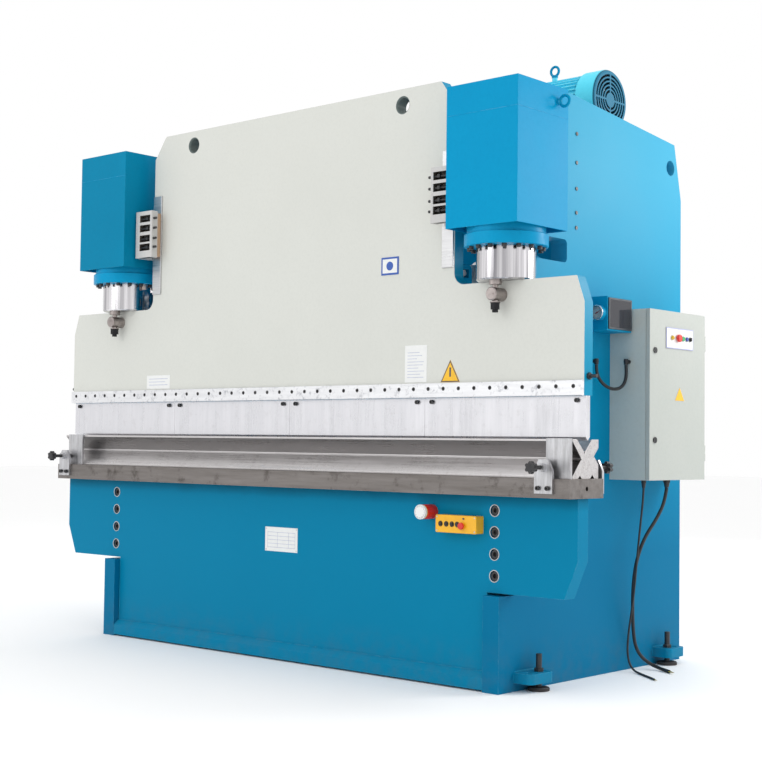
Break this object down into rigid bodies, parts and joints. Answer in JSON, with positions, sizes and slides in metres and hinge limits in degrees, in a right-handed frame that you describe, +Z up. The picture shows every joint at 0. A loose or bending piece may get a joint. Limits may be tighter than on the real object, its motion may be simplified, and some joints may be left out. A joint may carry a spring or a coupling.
{
  "type": "press brake",
  "caption": "Hydraulic torsion-bar press brake: ram with punch over a multi-V die, two side cylinders, blue frame, back gauge, electrical cabinet.",
  "frame": {"origin": "on the floor, at the centre of the machine's box without its loose cables", "axes": "+X along the bending line to the operator's right, +Y from the operator to the rear, +Z up"},
  "size_m": [3.28, 1.5184, 2.76],
  "materials": {
    "blue_paint": "satin",
    "cream_paint": "satin",
    "cabinet_paint": "fine texture",
    "motor_paint": "gloss",
    "black_plastic": "matte",
    "machined_steel": "ground",
    "bed_steel": "machined, oiled",
    "chrome": "polished",
    "black_oxide": "black oxide",
    "yellow_plastic": "satin",
    "red_plastic": "gloss",
    "green_plastic": "gloss",
    "cable_rubber": "matte"
  },
  "bodies": {
    "frame": {"backgauge_rails": "blue_paint", "base_plates": "blue_paint", "bed_beam": "bed_steel", "bed_controls": "yellow_plastic", "bed_plate": "blue_paint", "cabinet_body": "cabinet_paint", "cable_glands": "black_plastic", "conduit": "cable_rubber", "cross_members": "blue_paint", "cylinder_cover_left": "blue_paint", "cylinder_cover_right": "blue_paint", "cylinders": "blue_paint", "die_fittings": "machined_steel", "earth_lead": "cable_rubber", "fan_cowl": "black_plastic", "gauge_box_and_gauge": "blue_paint", "hydraulic_pipes": "machined_steel", "levelling_feet": "black_oxide", "lifting_eyes": "machined_steel", "lower_die": "machined_steel", "machine_screws": "black_oxide", "mains_lead": "cable_rubber", "motor_housing": "motor_paint", "mounting_plate": "cabinet_paint", "oil_tank": "blue_paint", "pump_and_valves": "machined_steel", "ram_guides": "machined_steel", "side_frame_left": "blue_paint", "side_frame_right": "blue_paint", "tank_fittings": "machined_steel"},
    "ram": {"ram_plate": "cream_paint", "clamp_strip": "machined_steel", "punch_segments": "machined_steel", "ram_fasteners": "black_oxide", "piston_rods": "chrome", "rod_couplings": "machined_steel", "ram_rails": "machined_steel", "ram_links": "blue_paint"},
    "torsion_shaft": {"torsion_shaft": "blue_paint"},
    "backgauge_beam": {"backgauge_beam": "machined_steel"},
    "gauge_finger_left": {"gauge_finger_left": "machined_steel"},
    "gauge_finger_right": {"gauge_finger_right": "machined_steel"},
    "lead_screw": {"lead_screw": "machined_steel"},
    "motor_rotor": {"motor_rotor": "machined_steel"},
    "cabinet_door": {"cabinet_door": "cabinet_paint"},
    "door_lock_upper": {"door_lock_upper": "chrome"},
    "door_lock_lower": {"door_lock_lower": "chrome"},
    "door_estop": {"door_estop": "red_plastic"},
    "door_start": {"door_start": "green_plastic"},
    "box_button_1": {"box_button_1": "black_plastic"},
    "box_button_2": {"box_button_2": "black_plastic"},
    "box_button_3": {"box_button_3": "black_plastic"},
    "box_button_4": {"box_button_4": "black_plastic"},
    "box_estop": {"box_estop": "red_plastic"},
    "dial_knob": {"dial_knob": "black_plastic"},
    "gauge_needle": {"gauge_needle": "red_plastic"},
    "die_screw_front_left": {"die_screw_front_left": "black_oxide"},
    "die_screw_front_right": {"die_screw_front_right": "black_oxide"},
    "die_screw_rear_left": {"die_screw_rear_left": "black_oxide"},
    "die_screw_rear_right": {"die_screw_rear_right": "black_oxide"}
  },
  "joints": [
    {"name": "ram_stroke", "type": "slide", "parent": "frame", "child": "ram", "axis": [0, 0, 1], "range_m": [-0.03, 0.09]},
    {"name": "torsion_turn", "type": "hinge", "parent": "frame", "child": "torsion_shaft", "pos_m": [0, -0.27285, 1.69], "axis": [1, 0, 0], "range_deg": [-28, 10]},
    {"name": "backgauge_depth", "type": "slide", "parent": "frame", "child": "backgauge_beam", "axis": [0, 1, 0], "range_m": [-0.11, 0.4]},
    {"name": "lead_screw_turn", "type": "hinge", "parent": "frame", "child": "lead_screw", "pos_m": [0, 0.02715, 0.84], "axis": [0, 1, 0], "range_deg": [-1050, 3700]},
    {"name": "finger_left_shift", "type": "slide", "parent": "backgauge_beam", "child": "gauge_finger_left", "axis": [1, 0, 0], "range_m": [-0.35, 0.25]},
    {"name": "finger_right_shift", "type": "slide", "parent": "backgauge_beam", "child": "gauge_finger_right", "axis": [1, 0, 0], "range_m": [-0.25, 0.35]},
    {"name": "motor_spin", "type": "hinge", "parent": "frame", "child": "motor_rotor", "pos_m": [0.8, 0.37715, 2.551], "axis": [1, 0, 0], "continuous": true},
    {"name": "door_swing", "type": "hinge", "parent": "frame", "child": "cabinet_door", "pos_m": [1.436, 0.63615, 1.2], "axis": [0, 0, 1], "range_deg": [0, 120]},
    {"name": "lock_upper_turn", "type": "hinge", "parent": "cabinet_door", "child": "door_lock_upper", "pos_m": [1.44, 0.20315, 1.388], "axis": [1, 0, 0], "range_deg": [0, 90]},
    {"name": "lock_lower_turn", "type": "hinge", "parent": "cabinet_door", "child": "door_lock_lower", "pos_m": [1.44, 0.20315, 1.004], "axis": [1, 0, 0], "range_deg": [0, 90]},
    {"name": "door_estop_press", "type": "slide", "parent": "cabinet_door", "child": "door_estop", "axis": [-1, 0, 0], "range_m": [0, 0.004], "stiffness_N_per_m": 600},
    {"name": "door_start_press", "type": "slide", "parent": "cabinet_door", "child": "door_start", "axis": [-1, 0, 0], "range_m": [0, 0.0025], "stiffness_N_per_m": 500},
    {"name": "box_button_1_press", "type": "slide", "parent": "frame", "child": "box_button_1", "axis": [0, 1, 0], "range_m": [0, 0.004], "stiffness_N_per_m": 400},
    {"name": "box_button_2_press", "type": "slide", "parent": "frame", "child": "box_button_2", "axis": [0, 1, 0], "range_m": [0, 0.004], "stiffness_N_per_m": 400},
    {"name": "box_button_3_press", "type": "slide", "parent": "frame", "child": "box_button_3", "axis": [0, 1, 0], "range_m": [0, 0.004], "stiffness_N_per_m": 400},
    {"name": "box_button_4_press", "type": "slide", "parent": "frame", "child": "box_button_4", "axis": [0, 1, 0], "range_m": [0, 0.004], "stiffness_N_per_m": 400},
    {"name": "box_estop_press", "type": "slide", "parent": "frame", "child": "box_estop", "axis": [0, 1, 0], "range_m": [0, 0.005], "stiffness_N_per_m": 600},
    {"name": "dial_turn", "type": "hinge", "parent": "frame", "child": "dial_knob", "pos_m": [0.876, -0.66285, 0.699], "axis": [0, 1, 0], "range_deg": [-150, 150]},
    {"name": "gauge_needle_turn", "type": "hinge", "parent": "frame", "child": "gauge_needle", "pos_m": [1.325, -0.06885, 1.535], "axis": [0, 1, 0], "range_deg": [-195, 75]},
    {"name": "die_screw_front_left_turn", "type": "hinge", "parent": "frame", "child": "die_screw_front_left", "pos_m": [-1.533, -0.67285, 0.892], "axis": [0, 1, 0], "range_deg": [-720, 720]},
    {"name": "die_screw_front_right_turn", "type": "hinge", "parent": "frame", "child": "die_screw_front_right", "pos_m": [1.484, -0.67285, 0.892], "axis": [0, 1, 0], "range_deg": [-720, 720]},
    {"name": "die_screw_rear_left_turn", "type": "hinge", "parent": "frame", "child": "die_screw_rear_left", "pos_m": [-1.484, -0.41285, 0.892], "axis": [0, 1, 0], "range_deg": [-720, 720]},
    {"name": "die_screw_rear_right_turn", "type": "hinge", "parent": "frame", "child": "die_screw_rear_right", "pos_m": [1.553, -0.41285, 0.892], "axis": [0, 1, 0], "range_deg": [-720, 720]}
  ],
  "couplings": [
    {"joint": "torsion_turn", "follows": "ram_stroke", "rad_per_m": -5},
    {"joint": "lead_screw_turn", "follows": "backgauge_depth", "rad_per_m": 157.08}
  ]
}
